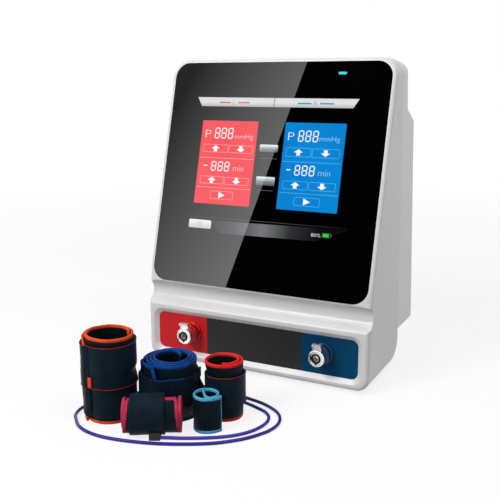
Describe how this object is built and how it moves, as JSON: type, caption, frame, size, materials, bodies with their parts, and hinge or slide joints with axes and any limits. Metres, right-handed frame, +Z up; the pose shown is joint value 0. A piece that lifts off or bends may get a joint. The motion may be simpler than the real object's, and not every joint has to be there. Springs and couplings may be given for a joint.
{
  "type": "pneumatic tourniquet system",
  "caption": "Tilted touch-screen console that inflates limb cuffs through quick couplings, with rolled colour-bound cuffs and a coiled air hose ending in a plug.",
  "frame": {"origin": "on the table plane under the middle of the bounding box of console and cuffs, hose left out", "axes": "+X to the right of someone who faces the screen, +Y away from them, +Z up; the screen and the couplings face -Y"},
  "size_m": [0.317, 0.4389, 0.4063],
  "materials": {
    "housing": "satin moulded off-white plastic",
    "screen_glass": "black glass with the lit panels behind it",
    "display": "metal-backed display",
    "lamp": "lit lens",
    "circuit_board": "solder-masked board",
    "red_plate": "satin",
    "dark_plate": "satin",
    "blue_plate": "satin",
    "red_collar": "gloss",
    "blue_collar": "gloss",
    "chrome": "polished plating",
    "valve_plastic": "moulded",
    "steel": "zinc plated",
    "inner_tube": "clear soft tube",
    "aluminium": "milled",
    "black_plastic": "fine texture",
    "black_rubber": "matt",
    "battery_wrap": "shrink wrap",
    "cuff_cloth": "laminated nylon",
    "orange_edge": "woven binding",
    "blue_edge": "woven binding",
    "red_edge": "woven binding",
    "cyan_edge": "woven binding",
    "pink_edge": "woven binding",
    "hose_blue": "smooth soft hose"
  },
  "bodies": {
    "console": {"front_housing": "housing", "rear_cover": "housing", "cover_screws": "steel", "glass_panel": "screen_glass", "display_module": "display", "status_lamp": "lamp", "control_board": "circuit_board", "left_port_plate": "red_plate", "centre_plate": "dark_plate", "right_port_plate": "blue_plate", "left_collar": "red_collar", "right_collar": "blue_collar", "left_coupling": "chrome", "right_coupling": "chrome", "coupling_nuts": "steel", "left_air_tube": "inner_tube", "right_air_tube": "inner_tube", "valve_manifold": "aluminium", "solenoid_valves": "black_plastic", "air_pumps": "black_plastic", "pump_motors": "steel", "battery_pack": "battery_wrap", "power_supply": "aluminium", "chassis_plate": "aluminium", "mains_inlet": "black_plastic", "rubber_feet": "black_rubber", "foot_screws": "steel"},
    "fuse_drawer": {"fuse_drawer": "black_plastic"},
    "left_latch": {"left_latch": "chrome"},
    "left_poppet": {"left_poppet": "valve_plastic"},
    "power_rocker": {"power_rocker": "black_plastic"},
    "right_latch": {"right_latch": "chrome"},
    "right_poppet": {"right_poppet": "valve_plastic"},
    "orange_roll": {"orange_cuff": "cuff_cloth", "orange_binding": "orange_edge", "orange_strap": "cuff_cloth", "orange_port": "black_rubber"},
    "blue_roll": {"blue_cuff": "cuff_cloth", "blue_binding": "blue_edge", "blue_strap": "cuff_cloth", "blue_port": "black_rubber"},
    "red_roll": {"red_cuff": "cuff_cloth", "red_binding": "red_edge", "red_strap": "cuff_cloth", "red_port": "black_rubber"},
    "cyan_roll": {"cyan_cuff": "cuff_cloth", "cyan_binding": "cyan_edge", "cyan_port": "black_rubber"},
    "pink_roll": {"pink_cuff": "cuff_cloth", "pink_binding": "pink_edge", "pink_strap": "cuff_cloth", "pink_port": "black_rubber", "cuff_hose": "hose_blue", "hose_plug": "chrome"}
  },
  "joints": [
    {"name": "left_latch_slide", "type": "slide", "parent": "console", "child": "left_latch", "axis": [0, 0, 1], "range_m": [0, 0.0011]},
    {"name": "left_poppet_slide", "type": "slide", "parent": "console", "child": "left_poppet", "axis": [0, 1, 0], "range_m": [0, 0.003], "stiffness_N_per_m": 400, "springref_m": -0.001},
    {"name": "right_latch_slide", "type": "slide", "parent": "console", "child": "right_latch", "axis": [0, 0, 1], "range_m": [0, 0.0011]},
    {"name": "right_poppet_slide", "type": "slide", "parent": "console", "child": "right_poppet", "axis": [0, 1, 0], "range_m": [0, 0.003], "stiffness_N_per_m": 400, "springref_m": -0.001},
    {"name": "fuse_drawer_slide", "type": "slide", "parent": "console", "child": "fuse_drawer", "axis": [0, 0.994, 0.1097], "range_m": [0, 0.012]},
    {"name": "power_rocker_tilt", "type": "hinge", "parent": "console", "child": "power_rocker", "pos_m": [-0.109, 0.20923, 0.09354], "axis": [-1, 0, 0], "range_deg": [0, 16]},
    {"name": "orange_roll_lift", "type": "slide", "parent": "console", "child": "orange_roll", "axis": [0, 0, 1], "range_m": [0, 0.1]},
    {"name": "blue_roll_lift", "type": "slide", "parent": "console", "child": "blue_roll", "axis": [0, 0, 1], "range_m": [0, 0.1]},
    {"name": "red_roll_lift", "type": "slide", "parent": "console", "child": "red_roll", "axis": [0, 0, 1], "range_m": [0, 0.1]},
    {"name": "cyan_roll_lift", "type": "slide", "parent": "console", "child": "cyan_roll", "axis": [0, 0, 1], "range_m": [0, 0.1]},
    {"name": "pink_roll_lift", "type": "slide", "parent": "console", "child": "pink_roll", "axis": [0, 0, 1], "range_m": [0, 0.1]}
  ]
}
